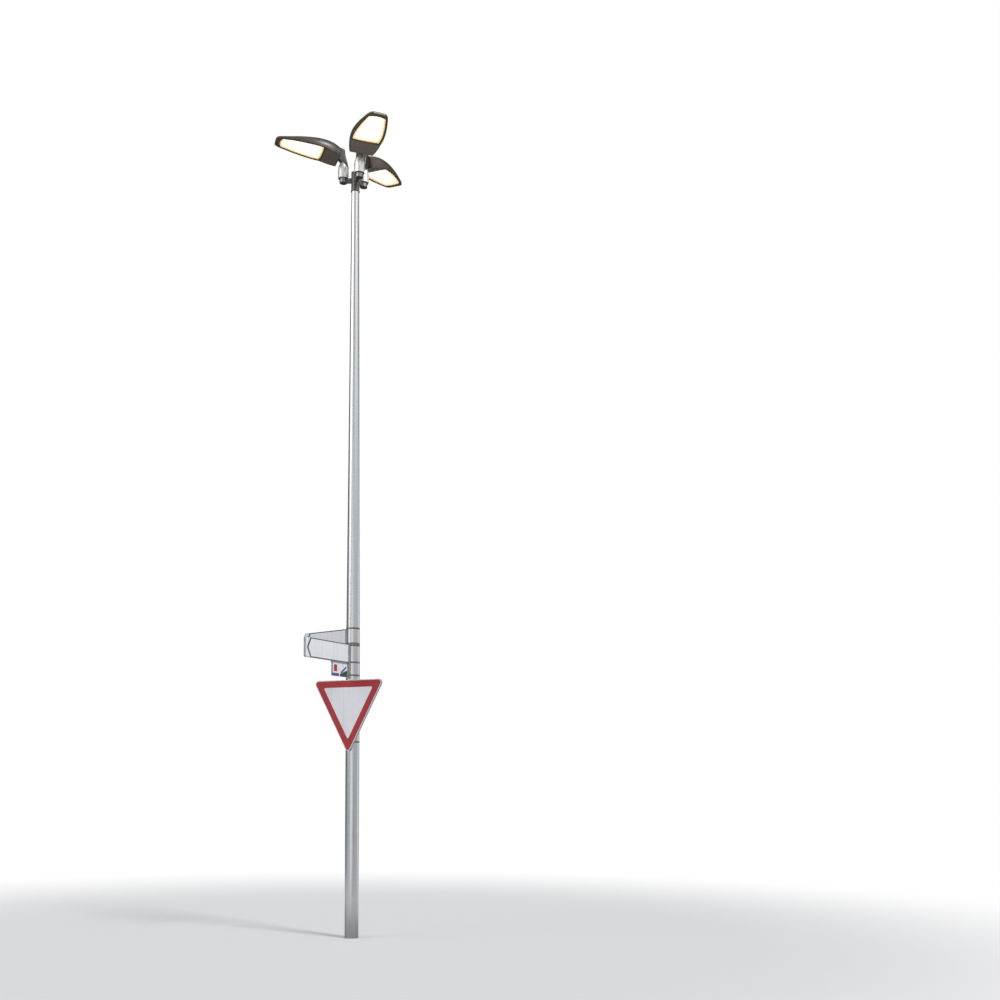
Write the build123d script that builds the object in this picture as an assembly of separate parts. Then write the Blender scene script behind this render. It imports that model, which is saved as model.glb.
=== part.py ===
from build123d import *
from math import cos, radians, sin, tan
import os

os.makedirs("parts", exist_ok=True)

# Street light with three leaf-shaped heads on one round mast, with a give-way sign,
# two pointing signs and two small route plaques clamped to the mast.
# The origin is the centre of the mast's foot. Lengths are in millimetres, angles in degrees,
# and an azimuth is counted from +X towards +Y.

# Mast
foot_radius = 72.5
straight_height = 2850
shoulder_height = 7880
shoulder_radius = 40
tenon_radius = 38
tenon_length = 160
mast_wall = 4.5
foot_thickness = 8

# Access door in the mast
door_azimuth = 90
door_bottom = 600
door_width = 85
door_height = 400
door_corner = 18
door_gap = 1.5
door_seat_width = 12
door_seat_thickness = 5
lock_radius = 11
lock_depth = 1.5
lock_inset = 45
lock_stud_radius = 5

# Collar on the mast top
collar_length = 200
collar_wall = 5
collar_clearance = 0.5
collar_lip_radius = 48
collar_lip_height = 8
lip_chamfer = 2
cap_plug_length = 18
cap_flange = 4
cap_rise = 8
cap_top_radius = 12

# Arms, sockets and spigots, with the arms' seat as a height above the mast's shoulder
arm_azimuths = {"left": 175, "front": -65, "right": 55}
spigot_distance = 130
arm_seat = 98
arm_height = 44
arm_width = 40
arm_rounding = 6
seat_clearance = 0.2
socket_radius = 40
socket_height = 47.7
spigot_radius = 30
spigot_wall = 4
spigot_length = 98
plug_radius = 34
plug_depth = 14
plug_stand_out = 4

# Silver slip-over adapter of a luminaire
rim_gap = 0.3
rim_lap = 1
adapter_radius = 56
adapter_straight = 65
adapter_shoulder_radius = 44
adapter_shoulder_height = 75
adapter_neck_radius = 26
adapter_neck_height = 107
adapter_tip_radius = 6
adapter_dome = 120
bore_clearance = 0.1
bore_headroom = 5
ring_radius = 50.5
ring_height = 8
cut_angle = 45
cut_back_height = 90

# Luminaire head
head_azimuths = {"left": 200, "front": -68, "right": 67}
tilt = 5.5
glass_reach = 230
glass_level = 225
cover_slope = 10.4
rim_height = 12
# Share of the crest's rise at which the arch's shoulder points stand.
arch_fullness = 1.308
# Each row is the distance from the adapter's axis, the full width and the crest above the glass.
head_stations = (
    (55, 247, 96),
    (120, 292, 117),
    (220, 328, 125),
    (340, 334, 113),
    (470, 304, 86),
    (590, 255, 53),
    (670, 214, 32),
    (708, 172, 24),
    (721, 110, 20),
)
section_drop = 60

# Neck between the adapter's slanted cut and the head, as heights above the adapter's rim
neck_width = 66
neck_rounding = 20
neck_back = ((-50, 60), (-47, 145), (-24, 225), (-16, 288))
neck_top_rear = (-11, 300)
neck_top_front = (150, 326)
neck_inner = ((150, 215), (62, 182), (10, 150), (10, 60))

# Glass, its pocket and the light-emitting panel
glass_inset = 16
glass_thickness = 5
glass_bow = 10
glass_end = 660
glass_ledge = 8
glass_clearance = 0.5
pocket_depth = 18
panel_thickness = 4
panel_gap = 12
lens_size = 52
lens_height = 5
lens_pitch = 62
lens_rows = 5
lens_columns = 3
lens_setback = 25
lens_sink = 1

# Gear cover, the plain sloping panel under the head's rear
cover_thickness = 4
cover_inset = 9
cover_gap = 1

# Steel bands around the mast
band_thickness = 1.2
band_height = 18
band_clearance = 0.2

# Give-way sign
give_way_azimuth = -119.4
give_way_offset = 22
give_way_side = 900
give_way_top = 2718
give_way_corner = 40
give_way_sheet = 2
give_way_edge_depth = 20
give_way_edge_wall = 2
rail_depth = 20
rail_height = 40
rail_wall = 2.5
rail_slot = 13
rail_margin = 30
saddle_depth = 20
saddle_width = 64
give_way_clamp_drops = (648, 118)

# Pointing signs, with their bands as heights above a sign's lower edge
finger_height = 200
finger_thickness = 22
finger_corner = 12
finger_frame = 4
finger_sheet = 2
finger_standoff = 22
upper_finger_azimuth = 137.5
upper_finger_length = 700
upper_finger_step = 175
upper_band_rises = (35, 195)
lower_finger_azimuth = 244.4
lower_finger_length = 800
lower_band_rises = (-125, 11, 190)
bracket_wall = 4
bracket_lap = 14
bracket_fit = 0.5

# Route plaques under the lower pointing sign
plaque_size = 150
plaque_thickness = 3
plaque_corner = 8
plaque_spacing = 6
plaque_rail_height = 14
plaque_rail_thickness = 11
plaque_slot_depth = 8
plaque_clearance = 21

# Values that follow from the ones above
mast_taper = (foot_radius - shoulder_radius) / (shoulder_height - straight_height)
collar_bore = tenon_radius + collar_clearance
collar_radius = collar_bore + collar_wall
collar_top = shoulder_height + collar_length
arm_base = shoulder_height + arm_seat
socket_top = arm_base + socket_height
spigot_top = socket_top + spigot_length
ring_base = socket_top + rim_gap
rim_base = ring_base - rim_lap
dome_base = rim_base + adapter_straight
bore_radius = spigot_radius + bore_clearance
cut_back = Vector(-adapter_radius, 0, rim_base + cut_back_height)
glass_height = rim_base + glass_level
band_outer = band_clearance + band_thickness
# With this share at the arch's middle point, the top of its curve is exactly the crest.
arch_crown = (8 - 4 * arch_fullness) / 3
give_way_face = foot_radius + saddle_depth + rail_depth + give_way_sheet
give_way_drop = give_way_side * sin(radians(60))
plaque_base = give_way_top + plaque_clearance
lower_finger_base = plaque_base + plaque_size - plaque_slot_depth + plaque_rail_height
upper_finger_base = lower_finger_base + upper_finger_step


def mast_radius(height):
    """Outer radius of the mast at a height below its shoulder."""
    return foot_radius - mast_taper * max(0, height - straight_height)


def turned(points):
    """Solid of revolution about the mast's axis of a closed outline of radius and height pairs."""
    return revolve(make_face(Plane.XZ * Polyline(*points, close=True)), Axis.Z)


def tube(inner, outer, low, high):
    """Upright tube on the Z axis between two heights."""
    return turned([(inner, low), (outer, low), (outer, high), (inner, high)])


def rod(radius, low, high):
    """Upright round bar on the Z axis between two heights."""
    return Pos(0, 0, low) * Cylinder(radius, high - low, align=(Align.CENTER, Align.CENTER, Align.MIN))


def spigot_place(name):
    """Move from the mast's axis to a spigot's axis."""
    turn = radians(arm_azimuths[name])
    return Pos(spigot_distance * cos(turn), spigot_distance * sin(turn), 0)


def mast_hole(extra, low, high):
    """Round bar to cut away where the mast passes, grown by extra over its size at the lower height."""
    return rod(mast_radius(low) + extra, low, high)


def door_prism(width, height, corner):
    """Rounded upright prism through one wall of the mast, on the door's centre."""
    face = RectangleRounded(width, height, corner)
    middle = door_bottom + door_height / 2
    wall_side = Plane(origin=(0, 0, middle), x_dir=(0, 1, 0), z_dir=(1, 0, 0))
    return Rot(0, 0, door_azimuth) * extrude(wall_side * face, foot_radius + mast_wall)


def make_mast():
    """Tapered hollow mast with a closed foot, a top tenon, and a door opening with a seat behind it."""
    body = turned(
        [
            (foot_radius, 0),
            (foot_radius, straight_height),
            (shoulder_radius, shoulder_height),
            (tenon_radius, shoulder_height),
            (tenon_radius, shoulder_height + tenon_length),
            (tenon_radius - mast_wall, shoulder_height + tenon_length),
            (tenon_radius - mast_wall, shoulder_height - mast_wall),
            (foot_radius - mast_wall, straight_height),
            (foot_radius - mast_wall, foot_thickness),
            (0, foot_thickness),
            (0, 0),
        ]
    )
    body -= door_prism(door_width, door_height, door_corner)
    seat = tube(
        foot_radius - mast_wall - door_seat_thickness,
        foot_radius - mast_wall,
        door_bottom - door_seat_width,
        door_bottom + door_height + door_seat_width,
    )
    seat &= door_prism(door_width + 2 * door_seat_width, door_height + 2 * door_seat_width, door_corner)
    seat -= door_prism(door_width - 2 * door_seat_width, door_height - 2 * door_seat_width, door_corner / 2)
    return body + seat


def make_mast_door():
    """Curved door cover, flush with the mast, with two key locks."""
    cover = tube(foot_radius - mast_wall, foot_radius, door_bottom, door_bottom + door_height)
    cover &= door_prism(door_width - 2 * door_gap, door_height - 2 * door_gap, door_corner - door_gap)
    for lock_height in (door_bottom + lock_inset, door_bottom + door_height - lock_inset):
        face = Plane(origin=(0, 0, lock_height), x_dir=(0, 1, 0), z_dir=(1, 0, 0))
        recess = extrude(face * Circle(lock_radius), foot_radius + mast_wall)
        recess -= extrude(face * RegularPolygon(lock_stud_radius, 3), foot_radius - lock_depth / 2)
        recess -= rod(foot_radius - lock_depth, door_bottom, door_bottom + door_height)
        cover -= Rot(0, 0, door_azimuth) * recess
    return cover


def make_collar():
    """Sleeve that sits on the mast's shoulder, with a thicker lip at its lower end."""
    sleeve = turned(
        [
            (collar_bore, shoulder_height),
            (collar_lip_radius - lip_chamfer, shoulder_height),
            (collar_lip_radius, shoulder_height + lip_chamfer),
            (collar_lip_radius, shoulder_height + collar_lip_height - lip_chamfer),
            (collar_lip_radius - lip_chamfer, shoulder_height + collar_lip_height),
            (collar_radius, shoulder_height + collar_lip_height),
            (collar_radius, collar_top),
            (collar_bore, collar_top),
        ]
    )
    return sleeve


def make_collar_cap():
    """Low cap plugged into the collar's top, with a flange and a conical weathered top."""
    plug = collar_bore - seat_clearance
    flange_top = collar_top + cap_flange
    return turned(
        [
            (0, collar_top - cap_plug_length),
            (plug, collar_top - cap_plug_length),
            (plug, collar_top),
            (collar_radius, collar_top),
            (collar_radius, flange_top),
            (cap_top_radius, flange_top + cap_rise),
            (0, flange_top + cap_rise),
        ]
    )


def make_arm(name):
    """Short level arm between the collar and a socket."""
    bar = Pos(0, 0, arm_base) * Box(
        spigot_distance,
        arm_width,
        arm_height,
        align=(Align.MIN, Align.CENTER, Align.MIN),
    )
    bar = fillet(bar.edges().filter_by(Axis.X), arm_rounding)
    bar -= rod(collar_radius + seat_clearance, arm_base, collar_top)
    bar -= Pos(spigot_distance, 0, 0) * rod(socket_radius + seat_clearance, arm_base, collar_top)
    return Rot(0, 0, arm_azimuths[name]) * bar


def make_spigot(name):
    """Socket cylinder at an arm's end with the upright tube that carries a luminaire."""
    inner = spigot_radius - spigot_wall
    body = turned(
        [
            (plug_radius, arm_base),
            (socket_radius, arm_base),
            (socket_radius, socket_top),
            (spigot_radius, socket_top),
            (spigot_radius, spigot_top),
            (inner, spigot_top),
            (inner, arm_base + plug_depth),
            (plug_radius, arm_base + plug_depth),
        ]
    )
    return spigot_place(name) * body


def make_spigot_plug(name):
    """Round plug that closes a socket from below."""
    plug = rod(plug_radius - seat_clearance, arm_base - plug_stand_out, arm_base + plug_depth)
    plug = chamfer(plug.edges().group_by(Axis.Z)[0], plug_stand_out / 2)
    return spigot_place(name) * plug


def bullet_form():
    """Solid outside of the adapter and of the neck's root: a cylinder that narrows to a blunt tip."""
    tip_height = dome_base + adapter_dome
    outline = [
        Polyline((0, tip_height), (0, rim_base), (adapter_radius, rim_base), (adapter_radius, dome_base)),
        Spline(
            (adapter_radius, dome_base),
            (adapter_shoulder_radius, dome_base + adapter_shoulder_height),
            (adapter_neck_radius, dome_base + adapter_neck_height),
            (adapter_tip_radius, tip_height),
            tangents=[(0, 1), (-1, 0)],
        ),
        Line((adapter_tip_radius, tip_height), (0, tip_height)),
    ]
    return revolve(make_face(Plane.XZ * Curve(children=outline)), Axis.Z)


def cut_block():
    """Half-space block above the slanted plane where the adapter ends and the neck begins."""
    slant = Plane(
        origin=cut_back,
        x_dir=(cos(radians(cut_angle)), 0, sin(radians(cut_angle))),
        z_dir=(-sin(radians(cut_angle)), 0, cos(radians(cut_angle))),
    )
    side = 2 * (adapter_straight + adapter_dome + neck_top_front[1])
    return slant * Box(side, side, side, align=(Align.CENTER, Align.CENTER, Align.MIN))


def make_adapter():
    """Silver slip-over adapter, cut off on a slant towards its back, bored for the spigot."""
    body = bullet_form() - cut_block()
    body -= rod(bore_radius, rim_base, spigot_top + bore_headroom)
    body -= rod(ring_radius, rim_base, ring_base + ring_height)
    return body


def make_adapter_ring():
    """Dark ring inside the adapter's rim."""
    return tube(bore_radius, ring_radius - seat_clearance, ring_base, ring_base + ring_height)


head_axis = Vector(cos(radians(tilt)), 0, sin(radians(tilt)))
head_plane = Plane(
    origin=(glass_reach, 0, glass_height),
    x_dir=head_axis,
    z_dir=(-sin(radians(tilt)), 0, cos(radians(tilt))),
)


def cover_level(reach):
    """Height of the underside against the glass plane: level under the glass, sloping at the rear."""
    return min(0, (reach - glass_reach) * tan(radians(cover_slope)))


def head_section(reach, width, crest):
    """Arched section across the head at one distance from the adapter's axis."""
    half = width / 2
    rim = cover_level(reach) + rim_height
    shoulder = rim + arch_fullness * (crest - rim)
    middle = rim + arch_crown * (crest - rim)
    sides = Polyline((-half, rim), (-half, -section_drop), (half, -section_drop), (half, rim))
    crown = Bezier((half, rim), (half, shoulder), (0, middle), (-half, shoulder), (-half, rim))
    station = Plane(
        origin=head_plane.origin + head_axis * (reach - glass_reach),
        x_dir=(0, 1, 0),
        z_dir=head_axis,
    )
    return station * make_face(Curve(children=[sides, crown]))


def below_underside():
    """Prism under the head's underside: the glass plane and the sloping rear panel."""
    rear = -glass_reach - 2 * adapter_radius
    front = head_stations[-1][0]
    wedge = Polyline(
        (rear, rear * tan(radians(cover_slope))),
        (0, 0),
        (front, 0),
        (front, -2 * section_drop),
        (rear, -2 * section_drop),
        close=True,
    )
    side = Plane(origin=head_plane.origin, x_dir=head_axis, z_dir=(0, -1, 0))
    return extrude(side * make_face(wedge), head_stations[0][1], both=True)


def inset_outline(inset, first, last, bow):
    """Face on the glass plane that keeps inside the head's outline, from one reach to another."""
    reaches = []
    for reach, width, crest in head_stations:
        if first < reach < last:
            reaches.append((reach - glass_reach, width / 2 - inset))
    start = (first - glass_reach, width_at(first) / 2 - inset)
    end = (last - glass_reach, width_at(last) / 2 - inset)
    upper = [start, *reaches, end]
    lower = [(along, -across) for along, across in upper]
    edges = [
        Spline(*upper),
        ThreePointArc(upper[-1], (upper[-1][0] + end[1] / 4, 0), lower[-1]),
        Spline(*reversed(lower)),
        ThreePointArc(lower[0], (start[0] - bow, 0), upper[0]),
    ]
    return head_plane * make_face(Curve(children=edges))


def width_at(reach):
    """Full width of the head at a distance from the adapter's axis."""
    for (near, near_width, _), (far, far_width, _) in zip(head_stations, head_stations[1:]):
        if near <= reach <= far:
            return near_width + (far_width - near_width) * (reach - near) / (far - near)
    return head_stations[-1][1]


def neck_form():
    """Neck that rises from the slanted cut at the adapter's back into the head, with a rounded back."""
    back = [(along, rim_base + up) for along, up in neck_back]
    rest = [(along, rim_base + up) for along, up in (neck_top_rear, neck_top_front, *neck_inner)]
    outline = Curve(children=[Spline(*back), Polyline(back[-1], *rest, back[0])])
    spine = extrude(Plane.XZ * make_face(outline), neck_width / 2, both=True)
    rear = spine.edges().filter_by(
        lambda edge: edge.center().X < neck_top_rear[0] and abs(edge.center().Y) > neck_width / 3
    )
    return (fillet(rear, neck_rounding) + bullet_form()) & cut_block()


def make_housing():
    """Leaf-shaped domed housing with its neck, open underneath for the glass and the gear cover."""
    shell = loft([head_section(*station) for station in head_stations])
    body = shell - below_underside() + neck_form()
    rabbet = inset_outline(glass_inset, glass_reach, glass_end, glass_bow)
    pocket = inset_outline(
        glass_inset + glass_ledge,
        glass_reach + glass_ledge,
        glass_end - glass_ledge,
        glass_bow,
    )
    body -= extrude(rabbet, glass_thickness, dir=head_plane.z_dir)
    body -= extrude(pocket, pocket_depth, dir=head_plane.z_dir)
    body -= cover_block(0)
    return body


def make_glass():
    """Flat glass pane seated in the rabbet of the housing."""
    outline = inset_outline(
        glass_inset + glass_clearance,
        glass_reach + glass_clearance,
        glass_end - glass_clearance,
        glass_bow,
    )
    return extrude(outline, glass_thickness, dir=head_plane.z_dir)


def make_led_panel():
    """Light-emitting board inside the pocket, with square lens blocks in rows."""
    outline = inset_outline(
        glass_inset + glass_ledge + glass_clearance,
        glass_reach + glass_ledge + glass_clearance,
        glass_end - glass_ledge - glass_clearance,
        glass_bow,
    )
    board = extrude(outline, panel_thickness, dir=head_plane.z_dir)
    rise = head_plane.z_dir * panel_gap
    board = Pos(*rise) * board
    middle = (glass_end - glass_reach) / 2 - lens_setback
    lenses = []
    for row in range(lens_rows):
        for column in range(lens_columns):
            along = middle + (row - (lens_rows - 1) / 2) * lens_pitch
            across = (column - (lens_columns - 1) / 2) * lens_pitch
            place = head_plane * Pos(along, across, panel_gap - lens_height)
            lens = Box(
                lens_size,
                lens_size,
                lens_height + lens_sink,
                align=(Align.CENTER, Align.CENTER, Align.MIN),
            )
            lenses.append(place * lens)
    return board + lenses


def make_gear_cover():
    """Plain flat panel under the head's rear, let into the housing."""
    return cover_block(cover_gap)


def cover_block(gap):
    """Block of the gear cover, or of its recess when the gap is nothing."""
    first = head_stations[0][0] + cover_inset + gap
    last = glass_reach - glass_bow - cover_inset - gap
    corners = []
    for reach in (first, last):
        half = width_at(reach) / 2 - cover_inset - gap
        corners.append((reach - glass_reach, half))
    (rear, rear_half), (front, front_half) = corners
    outline = Polyline(
        (rear, rear_half),
        (front, front_half),
        (front, -front_half),
        (rear, -rear_half),
        close=True,
    )
    prism = extrude(head_plane * make_face(outline), section_drop, both=True)
    slope = tan(radians(cover_slope))
    layer = Polyline(
        (rear - cover_inset, (rear - cover_inset) * slope),
        (0, 0),
        (0, cover_thickness),
        (rear - cover_inset, (rear - cover_inset) * slope + cover_thickness),
        close=True,
    )
    side = Plane(origin=head_plane.origin, x_dir=head_axis, z_dir=(0, -1, 0))
    return prism & extrude(side * make_face(layer), head_stations[0][1], both=True)


def band(height):
    """Steel strap round the mast, centred on a height."""
    low = height - band_height / 2
    inner = mast_radius(low) + band_clearance
    return tube(inner, inner + band_thickness, low, low + band_height)


def sign_plane(azimuth, distance, level):
    """Plane of a sign face, its normal level and pointing along the azimuth."""
    turn = radians(azimuth)
    normal = Vector(cos(turn), sin(turn), 0)
    origin = normal * distance + Vector(0, 0, level)
    return Plane(origin=origin, x_dir=(-sin(turn), cos(turn), 0), z_dir=normal)


def give_way_place(distance, level):
    """Plane on the back or front of the give-way sign, centred on the sign and not on the mast."""
    return sign_plane(give_way_azimuth, distance, level) * Pos(give_way_offset, 0, 0)


def give_way_outline(inset):
    """Downward-pointing rounded triangle, inset from the sign's edge."""
    slant = tan(radians(60))
    half = give_way_side / 2 - inset * slant
    face = make_face(Polyline((-half, -inset), (half, -inset), (0, -inset - half * slant), close=True))
    face = fillet(face.vertices(), give_way_corner - inset)
    return give_way_place(give_way_face, give_way_top) * face


def make_give_way_face():
    """Flat sheet of the give-way sign."""
    return extrude(give_way_outline(0), -give_way_sheet)


def make_give_way_edge():
    """Folded edge profile behind the sheet of the give-way sign."""
    ring = give_way_outline(0) - give_way_outline(give_way_edge_wall)
    behind = sign_plane(give_way_azimuth, 0, 0).z_dir * -give_way_sheet
    return Pos(*behind) * extrude(ring, -give_way_edge_depth)


def give_way_rail_length(drop):
    """Length of a back rail at a distance below the give-way sign's top."""
    above_tip = give_way_drop - drop - rail_height / 2
    return 2 * above_tip / tan(radians(60)) - 2 * rail_margin


def make_give_way_rails():
    """Two level channels on the back of the give-way sign, open towards the mast."""
    rails = []
    for drop in give_way_clamp_drops:
        place = give_way_place(give_way_face - give_way_sheet, give_way_top - drop)
        length = give_way_rail_length(drop)
        outside = Box(length, rail_height, rail_depth, align=(Align.CENTER, Align.CENTER, Align.MAX))
        hollow = Pos(0, 0, -rail_wall) * Box(
            length,
            rail_height - 2 * rail_wall,
            rail_depth,
            align=(Align.CENTER, Align.CENTER, Align.MAX),
        )
        lips = Pos(0, 0, -rail_depth + rail_wall / 2) * Box(length, rail_height, rail_wall)
        lips -= Box(length, rail_slot, 4 * rail_depth)
        rails.append(place * (outside - hollow + lips))
    return Compound(children=rails)


def make_give_way_clamps():
    """Steel bands round the mast, each with a saddle block that holds a back rail."""
    clamps = []
    for drop in give_way_clamp_drops:
        height = give_way_top - drop
        place = sign_plane(give_way_azimuth, give_way_face - give_way_sheet - rail_depth, height)
        saddle = place * Box(
            saddle_width,
            band_height,
            foot_radius,
            align=(Align.CENTER, Align.CENTER, Align.MAX),
        )
        saddle -= mast_hole(band_clearance, height - band_height, height + band_height)
        clamps.append(saddle + band(height))
    return Compound(children=clamps)


def finger_place(azimuth, base):
    """Plane of a pointing sign: x runs out from the mast, y up, and z across the sign."""
    turn = radians(azimuth)
    direction = Vector(cos(turn), sin(turn), 0)
    origin = direction * (foot_radius + finger_standoff) + Vector(0, 0, base)
    return Plane(origin=origin, x_dir=direction, z_dir=direction.cross(Vector(0, 0, 1)))


def plate(length, height, thickness, corner):
    """Rounded plate that starts at the origin and lies along +X, up +Y and evenly about Z."""
    outline = Pos(length / 2, height / 2) * RectangleRounded(length, height, corner)
    return extrude(outline, thickness / 2, both=True)


def make_finger_faces(azimuth, base, length):
    """The two sheets of a pointing sign, one on each side, with an air space between them."""
    sheet = Pos(finger_frame, finger_frame, 0) * plate(
        length - 2 * finger_frame,
        finger_height - 2 * finger_frame,
        finger_sheet,
        finger_corner - finger_frame,
    )
    offset = (finger_thickness - finger_sheet) / 2
    place = finger_place(azimuth, base)
    return Compound(children=[place * Pos(0, 0, side * offset) * sheet for side in (-1, 1)])


def make_finger_edge(azimuth, base, length):
    """Rounded frame round a pointing sign."""
    ring = plate(length, finger_height, finger_thickness, finger_corner)
    ring -= Pos(finger_frame, finger_frame, 0) * plate(
        length - 2 * finger_frame,
        finger_height - 2 * finger_frame,
        2 * finger_thickness,
        finger_corner - finger_frame,
    )
    return finger_place(azimuth, base) * ring


def make_finger_bracket(azimuth, base, low):
    """Upright channel between the bands and a sign's inner end."""
    width = finger_thickness + 2 * bracket_fit + 2 * bracket_wall
    length = finger_standoff + bracket_lap
    height = base + finger_height - low
    block = Pos(-finger_standoff, low - base, 0) * Box(
        length,
        height,
        width,
        align=(Align.MIN, Align.MIN, Align.CENTER),
    )
    slot = Pos(-bracket_fit, low - base, 0) * Box(
        length,
        height,
        width - 2 * bracket_wall,
        align=(Align.MIN, Align.MIN, Align.CENTER),
    )
    passage = mast_hole(band_outer + band_clearance, low, low + height)
    return finger_place(azimuth, base) * (block - slot) - passage


def make_plaque_rail():
    """Slotted strip under the lower pointing sign that holds the two plaques' upper edges."""
    length = 2 * plaque_size + plaque_spacing
    strip = Pos(bracket_lap + bracket_fit, -plaque_rail_height, 0) * Box(
        length,
        plaque_rail_height,
        plaque_rail_thickness,
        align=(Align.MIN, Align.MIN, Align.CENTER),
    )
    slot = Pos(0, -plaque_rail_height, 0) * Box(
        2 * length,
        plaque_slot_depth,
        plaque_thickness + bracket_fit,
        align=(Align.MIN, Align.MIN, Align.CENTER),
    )
    return finger_place(lower_finger_azimuth, lower_finger_base) * (strip - slot)


def make_route_plaques():
    """Two square plaques side by side under the lower pointing sign."""
    top = -plaque_rail_height + plaque_slot_depth
    plaques = []
    for index in range(2):
        along = bracket_lap + bracket_fit + index * (plaque_size + plaque_spacing)
        plaque = plate(plaque_size, plaque_size, plaque_thickness, plaque_corner)
        place = finger_place(lower_finger_azimuth, lower_finger_base) * Pos(along, top - plaque_size, 0)
        plaques.append(place * plaque)
    return Compound(children=plaques)


def bands(base, rises):
    """The steel bands that hold one pointing sign, as one node."""
    return Compound(children=[band(base + rise) for rise in rises])


root_pieces = {
    "mast": make_mast(),
    "mast_door": make_mast_door(),
    "collar": make_collar(),
    "collar_cap": make_collar_cap(),
    "give_way_face": make_give_way_face(),
    "give_way_edge": make_give_way_edge(),
    "give_way_rails": make_give_way_rails(),
    "give_way_clamps": make_give_way_clamps(),
    "upper_finger_faces": make_finger_faces(upper_finger_azimuth, upper_finger_base, upper_finger_length),
    "upper_finger_edge": make_finger_edge(upper_finger_azimuth, upper_finger_base, upper_finger_length),
    "upper_finger_bracket": make_finger_bracket(upper_finger_azimuth, upper_finger_base, upper_finger_base),
    "upper_finger_bands": bands(upper_finger_base, upper_band_rises),
    "lower_finger_faces": make_finger_faces(lower_finger_azimuth, lower_finger_base, lower_finger_length),
    "lower_finger_edge": make_finger_edge(lower_finger_azimuth, lower_finger_base, lower_finger_length),
    "lower_finger_bracket": make_finger_bracket(lower_finger_azimuth, lower_finger_base, plaque_base),
    "lower_finger_bands": bands(lower_finger_base, lower_band_rises),
    "plaque_rail": make_plaque_rail(),
    "route_plaques": make_route_plaques(),
}
for name in arm_azimuths:
    root_pieces[f"arm_{name}"] = make_arm(name)
    root_pieces[f"spigot_{name}"] = make_spigot(name)
    root_pieces[f"spigot_plug_{name}"] = make_spigot_plug(name)

luminaire_pieces = {
    "adapter": make_adapter(),
    "adapter_ring": make_adapter_ring(),
    "housing": make_housing(),
    "gear_cover": make_gear_cover(),
    "glass": make_glass(),
    "led_panel": make_led_panel(),
}

for node, body in root_pieces.items():
    export_step(body, f"parts/{node}.step")
for name, azimuth in head_azimuths.items():
    for piece, body in luminaire_pieces.items():
        placed = spigot_place(name) * Rot(0, 0, azimuth) * body
        export_step(placed, f"parts/{piece}_{name}.step")
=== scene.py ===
# %% [markdown]
# # A street light with three leaf-shaped heads
# A tapered aluminium mast carries three heads on short arms, a give-way sign, two pointing
# signs and two small route plaques. The exact solids come from the CAD model, which is
# loaded once as a fixed frame. This lesson dresses them: it gives each solid the finish that
# the real one has, and adds what is too thin or too small for the CAD model, such as printed
# sign faces, screws, band locks and the optics of the lamps.

# %% Load the solids
from itertools import product
from math import cos, pi, radians, sin, tan
import bmesh
import bpy
from mathutils import Matrix, Vector


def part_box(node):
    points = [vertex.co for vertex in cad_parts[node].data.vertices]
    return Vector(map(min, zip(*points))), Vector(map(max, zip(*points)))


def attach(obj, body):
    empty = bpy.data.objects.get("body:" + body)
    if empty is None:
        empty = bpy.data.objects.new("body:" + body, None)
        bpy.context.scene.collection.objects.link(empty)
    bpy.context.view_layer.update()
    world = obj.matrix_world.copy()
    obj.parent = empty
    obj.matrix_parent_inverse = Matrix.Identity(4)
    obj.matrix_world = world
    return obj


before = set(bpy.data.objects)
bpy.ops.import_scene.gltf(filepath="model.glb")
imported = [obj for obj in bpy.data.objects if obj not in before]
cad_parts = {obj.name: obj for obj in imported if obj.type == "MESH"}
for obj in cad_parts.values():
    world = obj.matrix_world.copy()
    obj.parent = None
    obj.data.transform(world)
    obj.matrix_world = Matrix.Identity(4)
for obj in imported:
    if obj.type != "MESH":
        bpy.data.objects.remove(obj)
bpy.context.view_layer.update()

# %% [markdown]
# ## The camera
# The street light is seen from thirteen metres away at eye height, and its heads are far
# above the horizon. A camera that is tipped up would make upright lines lean together, and
# they don't, so the camera is level and its film is shifted, as on an architect's camera.
# The place, the lens and the shift were worked out from points whose real place is known,
# such as the mast's foot and top, the heads' tips and the signs' corners.

# %% Place the camera
CAMERA_PLACE = Vector((1.561, -13.4, 1.7143))
CAMERA_ROLL = radians(0.30)
SENSOR_WIDTH = 36
FOCAL_LENGTH = 45.65
FILM_SHIFT = 0.2764

lens = bpy.data.cameras.new("camera")
lens.sensor_width = SENSOR_WIDTH
lens.lens = FOCAL_LENGTH
lens.shift_y = FILM_SHIFT
lens.clip_end = 200
camera = bpy.data.objects.new("camera", lens)
bpy.context.collection.objects.link(camera)
level = Matrix.Rotation(pi / 2, 4, "X")
camera.matrix_world = Matrix.Translation(CAMERA_PLACE) @ level @ Matrix.Rotation(CAMERA_ROLL, 4, "Z")
bpy.context.scene.camera = camera
bpy.context.scene.view_settings.view_transform = "Standard"
print("camera stands", round(CAMERA_PLACE.length, 2), "m from the mast's foot")

# %% [markdown]
# ## Colours and nodes
# A finish is written with the colours that a maker reads off a chart, which are sRGB hex
# values. Blender works with linear light, so one function turns the first into the second.
# A second function adds one node with its settings and links, which keeps each finish below
# short enough to read in one go.

# %% Two helpers for every finish
def linear(chart):
    """Linear colour with alpha of an sRGB hex value such as 37322F."""
    parts = [int(chart[i : i + 2], 16) / 255 for i in (0, 2, 4)]
    return [v / 12.92 if v <= 0.04045 else ((v + 0.055) / 1.055) ** 2.4 for v in parts] + [1]


def node(tree, kind, inputs=None, **settings):
    """One shader node with its settings, and its sockets linked or filled."""
    made = tree.nodes.new("ShaderNode" + kind)
    for setting, value in settings.items():
        setattr(made, setting, value)
    for socket, value in (inputs or {}).items():
        if isinstance(value, bpy.types.NodeSocket):
            tree.links.new(value, made.inputs[socket])
        else:
            made.inputs[socket].default_value = value
    return made


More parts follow.
